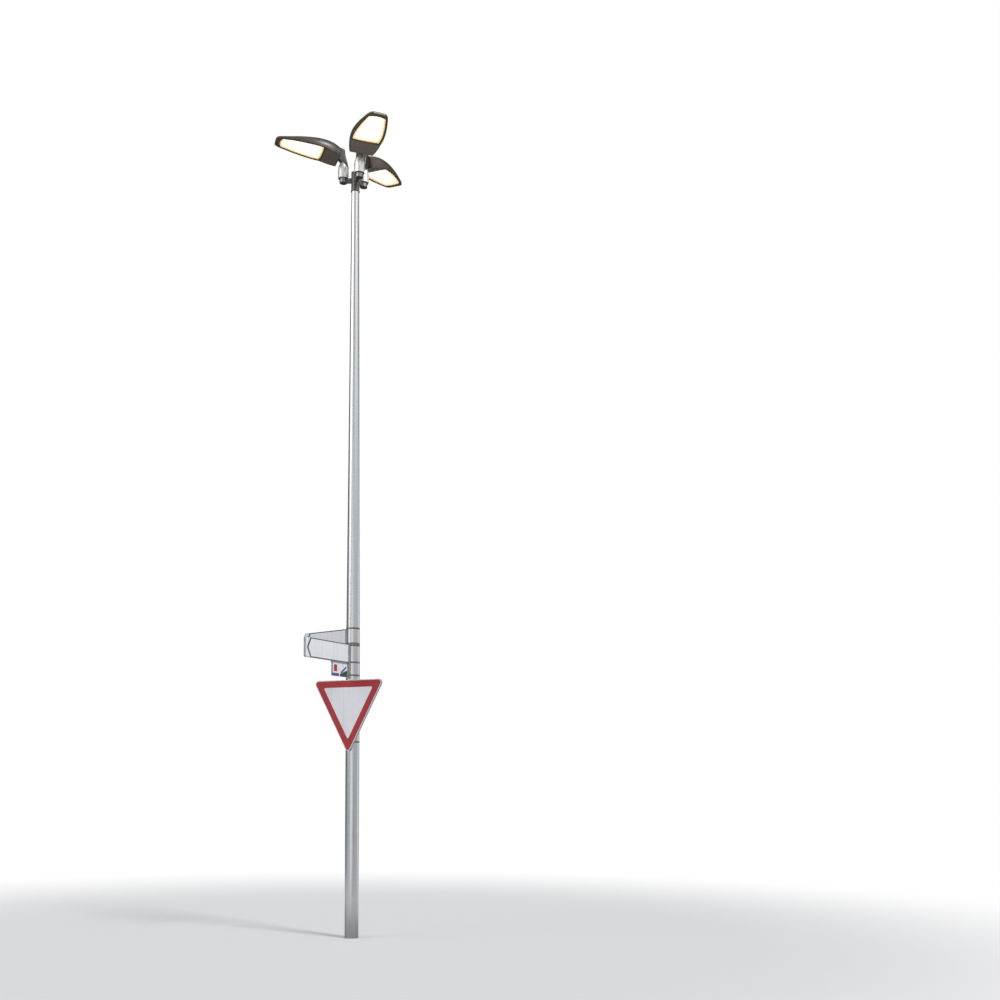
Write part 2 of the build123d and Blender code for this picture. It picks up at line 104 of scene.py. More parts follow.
print("mid grey 808080 is", round(linear("808080")[0], 3), "in linear light")

# %% [markdown]
# ## Studio light
# The object stands in a plain bright studio. The surround gives soft light from all sides at
# about half strength, and to the camera it is plain white. Round satin metal only looks
# round when something dark is near it, so the glossy rays meet the same white surround with
# grey flats standing in it. A dark one behind the object gives the mast its dark sides. In
# front, the low row of flats is mid grey and leaves one white gap, which draws one light
# stripe down the lower mast. The high row is white but for one narrow flat, which draws two
# light stripes near the mast's top with a thin dark line between them.

# %% Surround with two rows of flats
# Brightness of each row by azimuth in degrees, from -180 to 180.
LOW_ROW = (
    (-180, 0.40),
    (-125, 0.50),
    (-112, 1.00),
    (-86, 1.00),
    (-72, 0.48),
    (5, 0.52),
    (20, 0.95),
    (42, 0.95),
    (62, 0.12),
    (156, 0.12),
    (180, 0.40),
)
HIGH_ROW = (
    (-180, 0.88),
    (-112, 1.00),
    (-100, 0.34),
    (-85, 0.32),
    (-72, 1.00),
    (8, 1.00),
    (34, 0.12),
    (156, 0.12),
    (172, 0.68),
    (180, 0.88),
)
# Upward part of a direction where the low row ends, and where the high row is reached.
LOW_TOP = 0.17
HIGH_FOOT = 0.33


def surround(tree, path, way):
    """White for straight and glass rays, and white with the grey flats for glossy ones."""
    turn = node(tree, "TexGradient", {"Vector": way}, gradient_type="RADIAL")
    rows = []
    for row in (LOW_ROW, HIGH_ROW):
        flats = node(tree, "ValToRGB", {"Fac": turn.outputs[1]})
        stops = flats.color_ramp.elements
        for index, (azimuth, shade) in enumerate(row):
            spot = azimuth / 360 + 0.5
            stop = stops[index] if index < 2 else stops.new(spot)
            stop.position = spot
            stop.color = (shade, shade, shade, 1)
        rows.append(flats.outputs[0])
    rise = node(tree, "SeparateXYZ", {0: way}).outputs["Z"]
    above = node(tree, "MapRange", {0: rise, 1: LOW_TOP, 2: HIGH_FOOT}, interpolation_type="SMOOTHSTEP")
    both = node(tree, "Mix", {0: above.outputs[0], 2: rows[0], 3: rows[1]}).outputs[0]
    glossy = path.outputs["Is Glossy Ray"]
    return node(tree, "Mix", {0: glossy, 2: 1, 3: both}).outputs[0]


world = bpy.data.worlds.new("studio surround")
bpy.context.scene.world = world
world.use_nodes = True
tree = world.node_tree
tree.nodes.clear()
path = node(tree, "LightPath")
way = node(tree, "TexCoord").outputs["Generated"]
seen = path.outputs["Is Camera Ray"]
for ray in ("Is Transmission Ray", "Is Glossy Ray"):
    seen = node(tree, "Math", {0: seen, 1: path.outputs[ray]}, operation="MAXIMUM").outputs[0]
soft_light = node(tree, "Background", {"Color": linear("F4F6FF"), "Strength": 0.52})
white = node(tree, "Background", {"Color": (1, 1, 1, 1), "Strength": surround(tree, path, way)})
both = node(tree, "MixShader", {0: seen, 1: soft_light.outputs[0], 2: white.outputs[0]})
node(tree, "OutputWorld", {"Surface": both.outputs[0]})
print("surround has", len(LOW_ROW), "shades below and", len(HIGH_ROW), "above")

# %% [markdown]
# ## Two soft suns
# Light from all sides alone leaves a form flat. A sun lamp shines from one direction, and its
# angle says how large the sun is in the sky, so a larger angle gives a softer shadow. A large
# one from the upper right gives the shadow, and a weaker, larger one from the left opens the
# dark side without a second hard edge.

# %% Key and fill
def sun(name, azimuth, height, strength, size):
    """A soft sun that shines from an azimuth and a height above the horizon, in degrees."""
    lamp = bpy.data.lights.new(name, "SUN")
    lamp.energy = strength
    lamp.angle = radians(size)
    holder = bpy.data.objects.new(name, lamp)
    bpy.context.collection.objects.link(holder)
    side, up = radians(azimuth), radians(height)
    towards = Vector((cos(side) * cos(up), sin(side) * cos(up), sin(up)))
    holder.rotation_euler = towards.to_track_quat("Z", "Y").to_euler()


sun("key", azimuth=-40, height=42, strength=1.4, size=14)
sun("fill", azimuth=-152, height=26, strength=0.6, size=40)
print("suns:", [light.name for light in bpy.data.lights])

# %% [markdown]
# ## Floor
# A pale floor takes the shadow of the mast. A floor that simply ended would draw a horizon
# across the picture, so its finish turns from matt pale grey near the mast to the white of
# the surround further out, by the distance from the mast's foot. The flats stand on it too,
# so the stripes on the mast go on down to its foot.

# %% Floor that fades to white
FLOOR_RADIUS = 60
FADE_START = 4
FADE_END = 10

bpy.ops.object.select_all(action="DESELECT")
bpy.ops.mesh.primitive_circle_add(vertices=96, radius=FLOOR_RADIUS, fill_type="NGON")
floor = bpy.context.object
floor.name = "floor"
studio_floor = bpy.data.materials.new("matt studio floor")
studio_floor.use_nodes = True
tree = studio_floor.node_tree
tree.nodes.clear()
place = node(tree, "TexCoord")
reach = node(tree, "VectorMath", {0: place.outputs["Object"]}, operation="LENGTH")
fade = node(
    tree,
    "MapRange",
    {0: reach.outputs["Value"], 1: FADE_START, 2: FADE_END},
    interpolation_type="SMOOTHSTEP",
)
matt = node(tree, "BsdfDiffuse", {"Color": linear("E9E9E7")})
path = node(tree, "LightPath")
far = surround(tree, path, place.outputs["Object"])
glow = node(tree, "Emission", {"Color": (1, 1, 1, 1), "Strength": far})
blend = node(tree, "MixShader", {0: fade.outputs[0], 1: matt.outputs[0], 2: glow.outputs[0]})
node(tree, "OutputMaterial", {"Surface": blend.outputs[0]})
floor.data.materials.append(studio_floor)
print("floor is", FLOOR_RADIUS, "m in radius and fades from", FADE_START, "to", FADE_END, "m")

# %% [markdown]
# ## How a finish is made
# Each finish starts from the Principled shader with the fixed values of the real material
# on its own sockets. Patterns then vary its colour, its roughness and its bump. They all read
# the Object coordinates, which are metres here, because every piece sits at the origin. A
# grain of size g metres needs a noise scale of 1 / g. From thirteen metres away one pixel is
# about a centimetre, so a grain that is finer is drawn a few times coarser than it is.

# %% Helpers for finishes
def finish(name, colour, **fixed):
    """A material with its Principled shader's fixed values set, and the tree to work in."""
    made = bpy.data.materials.new(name)
    made.use_nodes = True
    shader = made.node_tree.nodes["Principled BSDF"]
    shader.inputs["Base Color"].default_value = linear(colour)
    for socket, value in fixed.items():
        shader.inputs[socket.replace("_", " ")].default_value = value
    return made, made.node_tree, shader


def grain(tree, stretch, size, detail=3, roughness=0.55):
    """Noise on Object coordinates, its grain size in metres and stretched along some axes."""
    place = node(tree, "TexCoord")
    scaled = node(tree, "Mapping", {"Vector": place.outputs["Object"], "Scale": stretch})
    sockets = {"Vector": scaled.outputs[0], "Scale": 1 / size, "Detail": detail, "Roughness": roughness}
    return node(tree, "TexNoise", sockets).outputs[0]


def between(tree, value, low, high, out_low, out_high):
    """A value mapped smoothly from one range to another, and held at its ends."""
    sockets = {0: value, 1: low, 2: high, 3: out_low, 4: out_high}
    return node(tree, "MapRange", sockets, interpolation_type="SMOOTHSTEP").outputs[0]


def tint(tree, share, first, second):
    """A colour mixed from two, by a share from 0 to 1."""
    return node(tree, "Mix", {0: share, 6: first, 7: second}, data_type="RGBA").outputs[2]


def relief(tree, shader, height, depth):
    """Bump from a height pattern, its depth in metres."""
    bump = node(tree, "Bump", {"Strength": 1, "Distance": depth, "Height": height})
    tree.links.new(bump.outputs["Normal"], shader.inputs["Normal"])


print("helpers ready")

# %% [markdown]
# ## Satin anodised aluminium, for the mast
# A conical mast is drawn from a tube, ground on a lathe and then anodised. The grinding
# leaves fine rings round the mast, and the anodising a satin grey over them. The rings
# spread a reflection up and down and leave it sharp from side to side, so the mast shows
# clear upright stripes. Rain leaves faint runs, and the lowest part is splashed from the soil.

# %% Mast aluminium
mast_metal, tree, shader = finish("satin anodised aluminium", "D1D3D5", Metallic=1)
rings = grain(tree, (0.5, 0.5, 40), 0.35, detail=4)
runs = grain(tree, (9, 9, 0.35), 0.9, detail=4)
clouds = grain(tree, (1, 1, 0.3), 0.3)
place = node(tree, "TexCoord")
height = node(tree, "SeparateXYZ", {0: place.outputs["Object"]}).outputs["Z"]
ragged = node(tree, "Math", {0: runs, 1: 0.5, 2: height}, operation="MULTIPLY_ADD").outputs[0]
splash = between(tree, ragged, 0.3, 0.75, 0.6, 0)
worn = between(tree, runs, 0.45, 0.8, 0, 0.45)
cool = tint(tree, between(tree, rings, 0.3, 0.7, 0, 1), linear("D4D6D8"), linear("CED0D3"))
aged = tint(tree, worn, cool, linear("9C9D9C"))
soiled = tint(tree, splash, aged, linear("5E5A52"))
tree.links.new(soiled, shader.inputs["Base Color"])
gloss = node(tree, "Math", {0: clouds, 1: 0.1, 2: 0.19}, operation="MULTIPLY_ADD").outputs[0]
dulled = node(tree, "Math", {0: splash, 1: 0.45, 2: gloss}, operation="MULTIPLY_ADD").outputs[0]
tree.links.new(dulled, shader.inputs["Roughness"])
relief(tree, shader, rings, 0.000004)
print(mast_metal.name)

# %% [markdown]
# ## Powder coat, for the collar, the arms and the heads
# Powder is baked onto the cast and extruded aluminium parts: dark grey on the collar and the
# arms, bronze black on the heads. It flows into a skin with a slight orange peel, and is a
# dielectric: a dark body, a broad sheen, and a clearer highlight from the smooth top of the
# skin. On faces that look up, dust and pollen settle and lighten it.

# %% Coats
def powder_coat(name, body, shade, dust, peel, roughness, clear=0.4):
    """Baked powder coat with its orange peel, cloudy sheen and dust on upward faces."""
    made, tree, shader = finish(name, body, IOR=1.5, Coat_Weight=clear, Coat_Roughness=0.25)
    skin = grain(tree, (1, 1, 1), peel, detail=2)
    clouds = grain(tree, (1, 1, 1), 0.4, detail=8, roughness=0.7)
    drips = grain(tree, (14, 14, 0.8), 0.5, detail=4)
    facing = node(tree, "NewGeometry")
    up = node(tree, "SeparateXYZ", {0: facing.outputs["Normal"]}).outputs["Z"]
    lying = between(tree, up, 0.35, 0.98, 0, 1)
    patchy = between(tree, clouds, 0.2, 0.8, 0.15, 0.6)
    settled = node(tree, "Math", {0: lying, 1: patchy}, operation="MULTIPLY").outputs[0]
    varied = tint(tree, between(tree, clouds, 0.3, 0.7, 0, 1), linear(body), linear(shade))
    streaked = tint(tree, between(tree, drips, 0.52, 0.75, 0, 0.35), varied, linear(dust))
    dusty = tint(tree, settled, streaked, linear(dust))
    tree.links.new(dusty, shader.inputs["Base Color"])
    sheen = node(tree, "Math", {0: clouds, 1: 0.18, 2: roughness}, operation="MULTIPLY_ADD").outputs[0]
    dull = node(tree, "Math", {0: settled, 1: 0.35, 2: sheen}, operation="MULTIPLY_ADD").outputs[0]
    tree.links.new(dull, shader.inputs["Roughness"])
    relief(tree, shader, skin, 0.00025)
    return made


collar_coat = powder_coat("dark grey powder coat", "2B2826", "373330", "5F584F", 0.004, 0.24, clear=1.0)
housing_coat = powder_coat("bronze black powder coat", "352B24", "41362E", "6D6356", 0.004, 0.30)
# In part painted light: the covers are a lighter bronze than the housings, for the light that the
# neighbouring heads throw on them. Their finer grain is real.
cover_coat_with_painted_light = powder_coat("fine grain bronze coat with painted light", "473C33", "54483E", "6E6458", 0.003, 0.38)
print(collar_coat.name, "/", housing_coat.name, "/", cover_coat_with_painted_light.name)

# %% [markdown]
# ## Anodised sockets and silver adapters
# The sockets under the heads are turned aluminium, anodised in a warm grey, so they keep
# their metal gloss under a darker colour. The slip-over adapters are die cast, smoothed and
# lacquered in silver. The lacquer holds flakes of aluminium in a pale binder, so it is partly
# a mirror, with bright and dull stripes, under a clear skin. How near white it is, and that
# it keeps pale in its shade, is in part painted light: it stands in for lamp light that falls
# on the adapters from above.

# %% Socket and adapter metals
socket_metal, tree, shader = finish("grey anodised aluminium", "8F8C88", Metallic=1)
lathe = grain(tree, (0.5, 0.5, 30), 0.12, detail=4)
blotch = grain(tree, (1, 1, 1), 0.03, detail=4)
tree.links.new(tint(tree, lathe, linear("83807C"), linear("9A9794")), shader.inputs["Base Color"])
tree.links.new(between(tree, blotch, 0.3, 0.7, 0.26, 0.4), shader.inputs["Roughness"])
relief(tree, shader, lathe, 0.0002)

lacquer = {"Metallic": 0.65, "Coat_Weight": 0.25, "Coat_Roughness": 0.3}
# In part painted light: the near-white base stands in for lamp light falling from above.
adapter_metal_with_painted_light, tree, shader = finish("silver lacquered cast aluminium with painted light", "ECEDEE", **lacquer)
sparkle = grain(tree, (1, 1, 1), 0.0015, detail=2)
wash = grain(tree, (12, 12, 1.2), 0.25, detail=4)
base = tint(tree, sparkle, linear("E8E9EA"), linear("F0F1F1"))
washed = tint(tree, between(tree, wash, 0.5, 0.8, 0, 0.2), base, linear("B4B2AD"))
tree.links.new(washed, shader.inputs["Base Color"])
tree.links.new(between(tree, wash, 0.3, 0.8, 0.33, 0.43), shader.inputs["Roughness"])
relief(tree, shader, sparkle, 0.000008)
print(socket_metal.name, "/", adapter_metal_with_painted_light.name)

# %% [markdown]
# ## Plastic, rubber and glass
# The plugs that close the sockets from below are moulded polyamide, black with a slightly
# uneven gloss. The seals are EPDM rubber, which is matt and greys with age. The panes are
# toughened glass: clear, with dirt that hangs on in thin clouds and dulls it in places.

# %% Plug, seal and glass
plug_plastic, tree, shader = finish("moulded black polyamide", "1E1D1C", IOR=1.53)
mould = grain(tree, (1, 1, 1), 0.002, detail=3)
tree.links.new(between(tree, mould, 0.3, 0.7, 0.38, 0.55), shader.inputs["Roughness"])
uneven = tint(tree, grain(tree, (1, 1, 1), 0.02), linear("1A1918"), linear("2B2928"))
tree.links.new(uneven, shader.inputs["Base Color"])
relief(tree, shader, mould, 0.0001)

seal_rubber, tree, shader = finish("black EPDM rubber", "1B1B1B", IOR=1.5)
bloom = grain(tree, (1, 1, 1), 0.015, detail=5)
aged = tint(tree, between(tree, bloom, 0.4, 0.75, 0, 1), linear("171717"), linear("363534"))
tree.links.new(aged, shader.inputs["Base Color"])
tree.links.new(between(tree, bloom, 0.3, 0.7, 0.6, 0.85), shader.inputs["Roughness"])
relief(tree, shader, bloom, 0.0002)

pane_glass, tree, shader = finish("toughened clear glass", "FBFDFC", IOR=1.52, Transmission_Weight=1)
film = grain(tree, (1, 1, 1), 0.05, detail=5)
tree.links.new(between(tree, film, 0.45, 0.8, 0.01, 0.12), shader.inputs["Roughness"])
hazy = tint(tree, between(tree, film, 0.45, 0.85, 0, 0.3), linear("FCFDFC"), linear("DDD9CC"))
tree.links.new(hazy, shader.inputs["Base Color"])
print(plug_plastic.name, "/", seal_rubber.name, "/", pane_glass.name)

# %% [markdown]
# ## The light itself
# The lamps are on. Behind the glass lies a board with white solder resist, with lens blocks of
# clear acrylic over its light-emitting diodes. From far away it shows as one white field with
# a warm rim. The rim is a painted yellow glow on the sloped frame round the board, which
# stands in for light that left the diodes sideways and is sent back. The board's soft glow is
# painted light as well, for the diodes' light that falls on it. The small lenses glow most at
# their middle, and their edges and the frame have the deeper yellow painted glow, so the field
# isn't even when seen from near.

# %% Board, lens and reflector finishes, with painted glow on board and reflector
# Painted light: the board is no lamp, and its glow stands in for diode light falling on it.
board_with_painted_glow, tree, shader = finish("white solder resist with painted glow", "F2EFE6", IOR=1.55, Emission_Strength=1.1)
spill = between(tree, grain(tree, (1, 1, 1), 0.02, detail=2), 0.35, 0.65, 0, 1)
warm = tint(tree, spill, linear("FFF1D6"), linear("FFF8EA"))
tree.links.new(warm, shader.inputs["Emission Color"])
tree.links.new(between(tree, spill, 0, 1, 0.35, 0.5), shader.inputs["Roughness"])

clear = {"IOR": 1.49, "Roughness": 0.12, "Emission_Strength": 2.6}
lens_acrylic, tree, shader = finish("lit clear acrylic", "FFF9EC", **clear)
core = between(tree, grain(tree, (1, 1, 1), 0.006, detail=2), 0.35, 0.6, 0, 1)
tree.links.new(tint(tree, core, linear("FFE4A6"), linear("FFF8E6")), shader.inputs["Emission Color"])

# Painted light: the reflector's yellow glow stands in for diode light the frame sends back.
moulded = {"IOR": 1.5, "Emission_Strength": 0.75}
reflector_with_painted_glow, tree, shader = finish("white reflector plastic with painted glow", "EFE6CF", **moulded)
haze = grain(tree, (1, 1, 1), 0.04, detail=3)
deep = tint(tree, between(tree, haze, 0.3, 0.7, 0, 1), linear("FFC04A"), linear("FFD070"))
tree.links.new(deep, shader.inputs["Emission Color"])
tree.links.new(between(tree, haze, 0.3, 0.7, 0.3, 0.42), shader.inputs["Roughness"])
print(board_with_painted_glow.name, "/", lens_acrylic.name, "/", reflector_with_painted_glow.name)

# %% [markdown]
# ## Bare metals of the signs
# The signs' folded edges, frames, brackets and back rails are extruded aluminium with the
# mill's finish: grey, streaky along the press, and half covered by dull oxide. The bands
# are stainless steel strap, cold rolled with a grain along the strap, and darker. Screws and
# band locks are zinc plated, a blue grey with a yellowish cast in places.

# %% Sign aluminium, stainless strap and zinc
sign_metal, tree, shader = finish("mill finish extruded aluminium", "9A9DA0", Metallic=0.7)
oxide = grain(tree, (1, 1, 0.6), 0.15, detail=7, roughness=0.65)
pressed = grain(tree, (1, 1, 40), 0.3, detail=3)
greyed = tint(tree, between(tree, oxide, 0.3, 0.8, 0, 1), linear("9FA2A5"), linear("8A8D90"))
tree.links.new(greyed, shader.inputs["Base Color"])
tree.links.new(between(tree, oxide, 0.3, 0.7, 0.38, 0.5), shader.inputs["Roughness"])
relief(tree, shader, pressed, 0.0002)

strap_steel, tree, shader = finish("cold rolled stainless strap", "77767A", Metallic=1, Anisotropic=0.4)
rolled = grain(tree, (0.4, 0.4, 60), 0.05, detail=3)
stain = grain(tree, (1, 1, 1), 0.03, detail=5)
stained = tint(tree, between(tree, stain, 0.45, 0.75, 0, 1), linear("828083"), linear("57524C"))
tree.links.new(stained, shader.inputs["Base Color"])
tree.links.new(between(tree, rolled, 0.3, 0.7, 0.26, 0.42), shader.inputs["Roughness"])
relief(tree, shader, rolled, 0.0001)

zinc_plate, tree, shader = finish("zinc plated steel", "A4A8AC", Metallic=1)
place = node(tree, "TexCoord").outputs["Object"]
spangle = node(tree, "TexVoronoi", {"Vector": place, "Scale": 1 / 0.004})
flakes = spangle.outputs["Distance"]
tree.links.new(tint(tree, flakes, linear("A9AEB4"), linear("8B8673")), shader.inputs["Base Color"])
tree.links.new(between(tree, flakes, 0, 0.8, 0.28, 0.5), shader.inputs["Roughness"])
print(sign_metal.name, "/", strap_steel.name, "/", zinc_plate.name)

# %% [markdown]
# ## Retroreflective film, for the sign faces
# Traffic signs are faced with a film of tiny cells that send light back. By day it looks
# matt and satiny, and its welded cell walls show as a fine net of about four millimetres.
# Dirt runs down from the top edge in thin streaks. One function makes the film, and each
# colour of it is one call.

# %% Sign films
CELL_SIZE = 0.004


def sign_film(name, colour, wall, roughness=0.45):
    """Retroreflective film: a coloured skin over a net of cells, with rain streaks."""
    made, tree, shader = finish(name, colour, IOR=1.49, Coat_Weight=0.12, Coat_Roughness=0.3)
    place = node(tree, "TexCoord").outputs["Object"]
    cells = node(tree, "TexVoronoi", {"Vector": place, "Scale": 1 / CELL_SIZE}, feature="DISTANCE_TO_EDGE")
    net = between(tree, cells.outputs["Distance"], 0.02, 0.1, 0.6, 0)
    streaks = grain(tree, (30, 30, 0.7), 0.6, detail=5)
    faded = grain(tree, (1, 1, 1), 0.25, detail=3)
    skin = tint(tree, net, linear(colour), linear(wall))
    bleached = tint(tree, between(tree, faded, 0.4, 0.8, 0, 0.25), skin, linear(wall))
    dirty = tint(tree, between(tree, streaks, 0.5, 0.8, 0, 0.3), bleached, linear("6B675F"))
    tree.links.new(dirty, shader.inputs["Base Color"])
    rough = node(tree, "Math", {0: streaks, 1: 0.25, 2: roughness}, operation="MULTIPLY_ADD").outputs[0]
    tree.links.new(rough, shader.inputs["Roughness"])
    relief(tree, shader, cells.outputs["Distance"], 0.00005)
    return made


white_film = sign_film("white sign film", "E4E4E6", "C6C8CF")
red_film = sign_film("red sign film", "9E1218", "B5353A")
green_film = sign_film("dark green sign film", "173B31", "2A5044")
blue_film = sign_film("violet blue sign film", "323F7C", "4A5795")
print("films:", white_film.name, red_film.name, green_film.name, blue_film.name)

# %% [markdown]
# ## Finishes onto the solids
# Every solid gets its finish through its own material slots. A name's first words say which
# finish it takes, so one table covers the three heads and their copies.

# %% Assign the finishes
FINISHES = {
    "mast": mast_metal,
    "collar": collar_coat,
    "arm": collar_coat,
    "spigot": socket_metal,
    "spigot_plug": plug_plastic,
    "adapter": adapter_metal_with_painted_light,
    "adapter_ring": seal_rubber,
    "housing": housing_coat,
    "gear_cover": cover_coat_with_painted_light,
    "glass": pane_glass,
    "led_panel": board_with_painted_glow,
    "give_way": sign_metal,
    "give_way_clamps": strap_steel,
    "upper_finger": sign_metal,
    "upper_finger_faces": white_film,
    "upper_finger_bands": strap_steel,
    "lower_finger": sign_metal,
    "lower_finger_faces": white_film,
    "lower_finger_bands": strap_steel,
    "plaque_rail": sign_metal,
    "route_plaques": white_film,
}

for name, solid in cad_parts.items():
    words = max((words for words in FINISHES if name.startswith(words)), key=len)
    for slot in solid.material_slots:
        slot.material = FINISHES[words]
print("solids finished:", len(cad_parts), "with", len(set(FINISHES.values())), "finishes")

# %% [markdown]
# ## Modelling helpers
# New pieces are modelled as by hand: a primitive is added, shaped in edit mode, and finished.
# An operator acts on all that is selected, so everything is let go first. A finished piece
# is then set in its place inside its mesh, so that its object stays at the origin. A copy for
# a sign's other side is mirrored, which turns it inside out, so the faces are turned
# outwards once more when the copies are joined.

# %% Start, select and settle
WELD_DISTANCE = 1e-6


def start_fresh():
    """Leave edit mode and let everything go, ready for a new primitive."""
    if bpy.context.object and bpy.context.object.mode == "EDIT":
        bpy.ops.object.mode_set(mode="OBJECT")
    bpy.ops.object.select_all(action="DESELECT")


def pick(kind, test):
    """In edit mode, select only those faces, edges or vertices that pass a test."""
    bpy.ops.mesh.select_mode(type={"faces": "FACE", "edges": "EDGE", "verts": "VERT"}[kind])
    bpy.ops.mesh.select_all(action="DESELECT")
    shape = bmesh.from_edit_mesh(bpy.context.object.data)
    for item in getattr(shape, kind):
        if test(item):
            item.select_set(True)
    bmesh.update_edit_mesh(bpy.context.object.data)


def close_up():
    """Merge doubles, turn all faces outwards, and leave edit mode."""
    bpy.ops.mesh.select_all(action="SELECT")
    bpy.ops.mesh.remove_doubles(threshold=WELD_DISTANCE)
    bpy.ops.mesh.normals_make_consistent(inside=False)
    bpy.ops.object.mode_set(mode="OBJECT")


def settle(model, name, places, body, slot, *finishes):
    """Copy a model to each of its places, join the copies, and hang the piece on its body."""
    copies = []
    for place in places:
        copy = model.copy()
        copy.data = model.data.copy()
        copy.data.transform(place @ model.matrix_world)
        copy.matrix_world = Matrix()
        bpy.context.collection.objects.link(copy)
        copies.append(copy)
    start_fresh()
    for copy in copies:
        copy.select_set(True)
    piece = copies[0]
    bpy.context.view_layer.objects.active = piece
    if len(copies) > 1:
        bpy.ops.object.join()
    bpy.ops.object.mode_set(mode="EDIT")
    bpy.ops.mesh.select_all(action="SELECT")
    bpy.ops.mesh.normals_make_consistent(inside=False)
    bpy.ops.object.mode_set(mode="OBJECT")
    piece.name = name
    piece.data.name = name
    if finishes:
        piece.data.materials.clear()
        for each in finishes:
            piece.data.materials.append(each)
    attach(piece, body)
    print(name, "faces:", len(piece.data.polygons))


def put_away(model):
    """Remove a model once its copies stand in their places."""
    bpy.data.objects.remove(model, do_unlink=True)


print("modelling helpers ready")

# %% [markdown]
# ## Where the pieces go
# A piece is modelled lying flat at the origin and then placed by a matrix. Each sign has its
# own frame, with x along it, y up and z out of its face, and each head has one on its glass,
# with x towards its tip and z up through the housing. Their numbers are those of the CAD
# model, here in metres.

# %% Frames of the signs and heads
MAST_RADIUS = 0.0725
GIVE_WAY_AZIMUTH = -119.4
GIVE_WAY_OFFSET = 0.022
GIVE_WAY_FACE = 0.1145
GIVE_WAY_TOP = 2.718
UPPER_FINGER = {"azimuth": 137.5, "base": 3.070, "length": 0.700}
LOWER_FINGER = {"azimuth": 244.4, "base": 2.895, "length": 0.800}
FINGER_START = 0.0945
HEADS = {"left": (175, 200), "front": (-65, -68), "right": (55, 67)}
SPIGOT_DISTANCE = 0.130
RIM_BASE = 8.025
GLASS_REACH = 0.230
GLASS_HEIGHT = 8.250
GLASS_MIDDLE = 0.210
HEAD_TILT = 5.5
COVER_SLOPE = 10.4
print("heads and their azimuths, of the arm and of the head:", HEADS)


# %% Placing matrices
def axes(origin, x_way, y_way):
    """Placing matrix with its origin and its x and y directions."""
    x_way, y_way = Vector(x_way).normalized(), Vector(y_way).normalized()
    turned = Matrix((x_way, y_way, x_way.cross(y_way))).transposed().to_4x4()
    return Matrix.Translation(origin) @ turned


def around(azimuth, distance=0, height=0):
    """Point at an azimuth in degrees, a distance from the mast's axis and a height."""
    turn = radians(azimuth)
    return Vector((distance * cos(turn), distance * sin(turn), height))


def on_mast(azimuth, distance, height):
    """Placing matrix whose z looks out from the mast and whose y is up."""
    return axes(around(azimuth, distance, height), around(azimuth + 90, 1), (0, 0, 1))


def on_finger(finger, side):
    """Placing matrix on one side of a pointing sign, x from the mast to its tip."""
    origin = around(finger["azimuth"], FINGER_START, finger["base"])
    flat = axes(origin, around(finger["azimuth"], 1), (0, 0, 1))
    if side > 0:
        return flat
    return flat @ Matrix.Scale(-1, 4, (0, 0, 1))


def spigot_axis(head):
    """Point on the mast's foot level under a head's spigot."""
    return around(HEADS[head][0], SPIGOT_DISTANCE)


def on_head(head, along=0.0, across=0.0, rise=0.0):
    """Placing matrix on a head's glass, from a distance along it, across it and up into it."""
    upright = Matrix.Translation(spigot_axis(head)) @ Matrix.Rotation(radians(HEADS[head][1]), 4, "Z")
    tilted = Matrix.Translation((GLASS_REACH, 0, GLASS_HEIGHT)) @ Matrix.Rotation(-radians(HEAD_TILT), 4, "Y")
    return upright @ tilted @ Matrix.Translation((along, across, rise))


for head in HEADS:
    low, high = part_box("glass_" + head)
    apart = on_head(head, GLASS_MIDDLE).translation - (Vector(low) + Vector(high)) / 2
    print(head, "glass centre is", round(apart.length * 1000), "mm from its frame")

# %% [markdown]
# ## Sign faces, cut from film
# A sign's face is made of films laid on one another: a white one over the whole sheet, the
# border colour on top, and the white field over that. Each could be drawn with a knife, but
# there is no need: a flat primitive with three or four corners is beveled at its corners,
# which rounds them as the punch does, and extruded by the film's thickness.

# %% Film cutters
FILM_THICKNESS = 0.0003
# A circle of three vertices, turned by half a turn, is a triangle that points down.
POINT_DOWN = (0, 0, pi)


def thicken(piece, thickness):
    """Give a flat film its thickness, upwards from its face."""
    solid = piece.modifiers.new("thickness", "SOLIDIFY")
    solid.thickness = thickness
    solid.offset = 1
    bpy.ops.object.modifier_apply(modifier="thickness")


def cut_triangle(side, corner):
    """Film with three equal sides that points down, its top edge on y = 0."""
    start_fresh()
    drop = side * sin(radians(60))
    bpy.ops.mesh.primitive_circle_add(
        vertices=3,
        radius=2 * drop / 3,
        fill_type="NGON",
        location=(0, -drop / 3, 0),
        rotation=POINT_DOWN,
    )
    bpy.ops.object.mode_set(mode="EDIT")
    bpy.ops.mesh.select_all(action="SELECT")
    reach = corner / tan(radians(30))
    bpy.ops.mesh.bevel(offset=reach, offset_type="OFFSET", affect="VERTICES", segments=10)
    close_up()
    return bpy.context.object


def cut_rectangle(width, height, corner):
    """Film with four corners, its lower left one at the origin."""
    start_fresh()
    bpy.ops.mesh.primitive_plane_add(size=1, location=(width / 2, height / 2, 0))
    bpy.ops.transform.resize(value=(width, height, 1))
    bpy.ops.object.transform_apply(location=True, rotation=True, scale=True)
    bpy.ops.object.mode_set(mode="EDIT")
    bpy.ops.mesh.select_all(action="SELECT")
    bpy.ops.mesh.bevel(offset=corner, offset_type="OFFSET", affect="VERTICES", segments=6)
    close_up()
    return bpy.context.object


print("films are", FILM_THICKNESS * 1000, "mm thick")

# %% [markdown]
# ## Give-way face
# The give-way sign is a white triangle with a wide red border that points down, with a thin
# white edge left round the red. The three films share one centre line, and each lies one
# thickness above the last.

# %% Give-way films
SIGN_SIDE = 0.900
SIGN_CORNER = 0.040
SHEET_EDGE = 0.001
LIGHT_EDGE = 0.008
RED_BORDER = 0.070
FIELD_CORNER = 0.012
SLANT = tan(radians(60))


